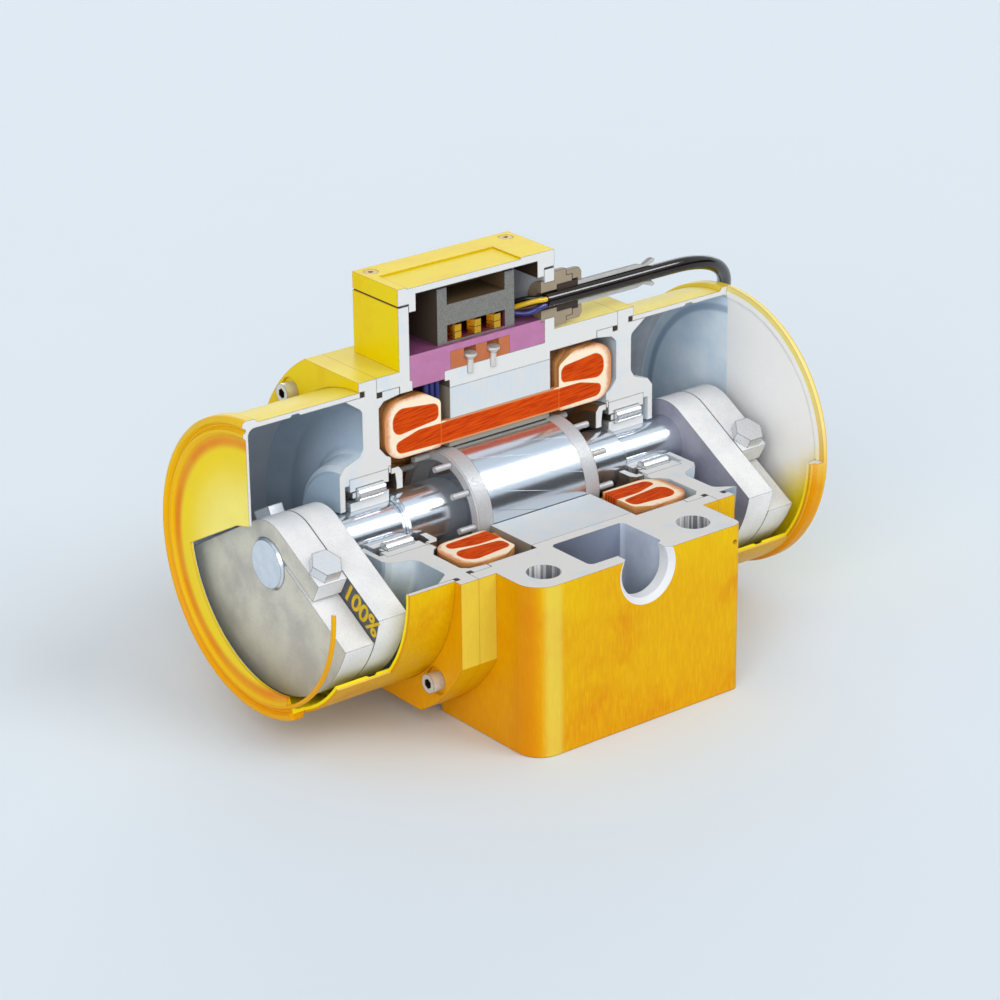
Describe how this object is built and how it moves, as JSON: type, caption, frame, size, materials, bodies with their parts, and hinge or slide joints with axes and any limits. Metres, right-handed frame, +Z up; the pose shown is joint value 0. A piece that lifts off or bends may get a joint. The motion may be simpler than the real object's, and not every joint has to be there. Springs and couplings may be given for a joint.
{
  "type": "vibration motor",
  "caption": "Foot-mounted unbalance vibration motor, sectioned to show its windings, rotor, roller bearings, eccentric weights and terminal box.",
  "frame": {"origin": "centre of the foot bolt pattern in the base plane", "axes": "+X along the shaft towards the cable side, +Y to the back, away from the cut quarter, +Z up from the base"},
  "size_m": [0.4361, 0.4443, 0.278],
  "materials": {
    "yellow_paint": "satin enamel, white at the cut faces",
    "ground_steel": "ground and polished",
    "pressed_steel": "satin",
    "core_steel": "stacked sheet, ground",
    "cast_aluminium": "die cast",
    "weight_iron": "cast, machined faces",
    "bolt_steel": "blackened",
    "screw_steel": "zinc plated",
    "black_rubber": "moulded",
    "winding_copper": null,
    "winding_tape": "woven tape with varnish",
    "winding_lead": "insulated leads",
    "purple_resin": "cast resin",
    "brown_laminate": "phenolic board",
    "grey_plastic": "moulded",
    "terminal_brass": "turned",
    "gland_metal": "dull plated",
    "sleeve_rubber": "moulded",
    "cable_sheath": "glossy sheath",
    "core_plastic": "insulated cores"
  },
  "bodies": {
    "stator": {"motor_housing": "yellow_paint", "left_end_shield": "yellow_paint", "right_end_shield": "yellow_paint", "left_cover": "yellow_paint", "right_cover": "yellow_paint", "terminal_box_lid": "yellow_paint", "left_bearing_outer_ring": "ground_steel", "right_bearing_outer_ring": "ground_steel", "left_bearing_circlip": "pressed_steel", "right_bearing_circlip": "pressed_steel", "left_grease_ring": "pressed_steel", "right_grease_ring": "pressed_steel", "stator_core": "core_steel", "left_shield_screws": "screw_steel", "right_shield_screws": "screw_steel", "lid_screws": "screw_steel", "terminal_board_screws": "screw_steel", "left_shield_seal": "black_rubber", "right_shield_seal": "black_rubber", "left_cover_seal": "black_rubber", "right_cover_seal": "black_rubber", "lid_gasket": "black_rubber", "gland_seal": "black_rubber", "slot_windings": "winding_copper", "left_end_winding": "winding_copper", "right_end_winding": "winding_copper", "left_winding_wrap": "winding_tape", "right_winding_wrap": "winding_tape", "slot_liners": "winding_tape", "winding_leads": "winding_lead", "sealing_compound": "purple_resin", "terminal_board": "brown_laminate", "terminal_block": "grey_plastic", "terminals": "terminal_brass", "gland_body": "gland_metal", "gland_nut": "gland_metal", "anti_kink_sleeve": "sleeve_rubber", "supply_cable": "cable_sheath", "cable_coil": "cable_sheath", "cable_cores": "core_plastic", "cable_end_cores": "core_plastic"},
    "rotor": {"shaft": "ground_steel", "weight_keys": "pressed_steel", "rotor_core": "core_steel", "rotor_cage": "cast_aluminium", "left_bearing_inner_ring": "ground_steel", "right_bearing_inner_ring": "ground_steel", "left_inner_weight": "weight_iron", "right_inner_weight": "weight_iron", "left_inner_clamp_bolt": "bolt_steel", "right_inner_clamp_bolt": "bolt_steel"},
    "left_outer_weight_set": {"left_outer_weight": "weight_iron", "left_outer_clamp_bolt": "bolt_steel"},
    "left_roller_set": {"left_bearing_rollers": "ground_steel", "left_bearing_cage": "pressed_steel"},
    "right_outer_weight_set": {"right_outer_weight": "weight_iron", "right_outer_clamp_bolt": "bolt_steel"},
    "right_roller_set": {"right_bearing_rollers": "ground_steel", "right_bearing_cage": "pressed_steel"}
  },
  "joints": [
    {"name": "rotor_spin", "type": "hinge", "parent": "stator", "child": "rotor", "pos_m": [0, 0, 0.1185], "axis": [1, 0, 0], "continuous": true},
    {"name": "left_outer_weight_setting", "type": "hinge", "parent": "rotor", "child": "left_outer_weight_set", "pos_m": [-0.1775, 0, 0.1185], "axis": [1, 0, 0], "range_deg": [0, 180]},
    {"name": "right_outer_weight_setting", "type": "hinge", "parent": "rotor", "child": "right_outer_weight_set", "pos_m": [0.1775, 0, 0.1185], "axis": [1, 0, 0], "range_deg": [0, 180]},
    {"name": "left_roller_set_spin", "type": "hinge", "parent": "stator", "child": "left_roller_set", "pos_m": [-0.1083, 0, 0.1185], "axis": [1, 0, 0], "continuous": true},
    {"name": "right_roller_set_spin", "type": "hinge", "parent": "stator", "child": "right_roller_set", "pos_m": [0.1083, 0, 0.1185], "axis": [1, 0, 0], "continuous": true}
  ],
  "couplings": [
    {"joint": "left_roller_set_spin", "follows": "rotor_spin", "ratio": 0.42105},
    {"joint": "right_roller_set_spin", "follows": "rotor_spin", "ratio": 0.42105}
  ]
}
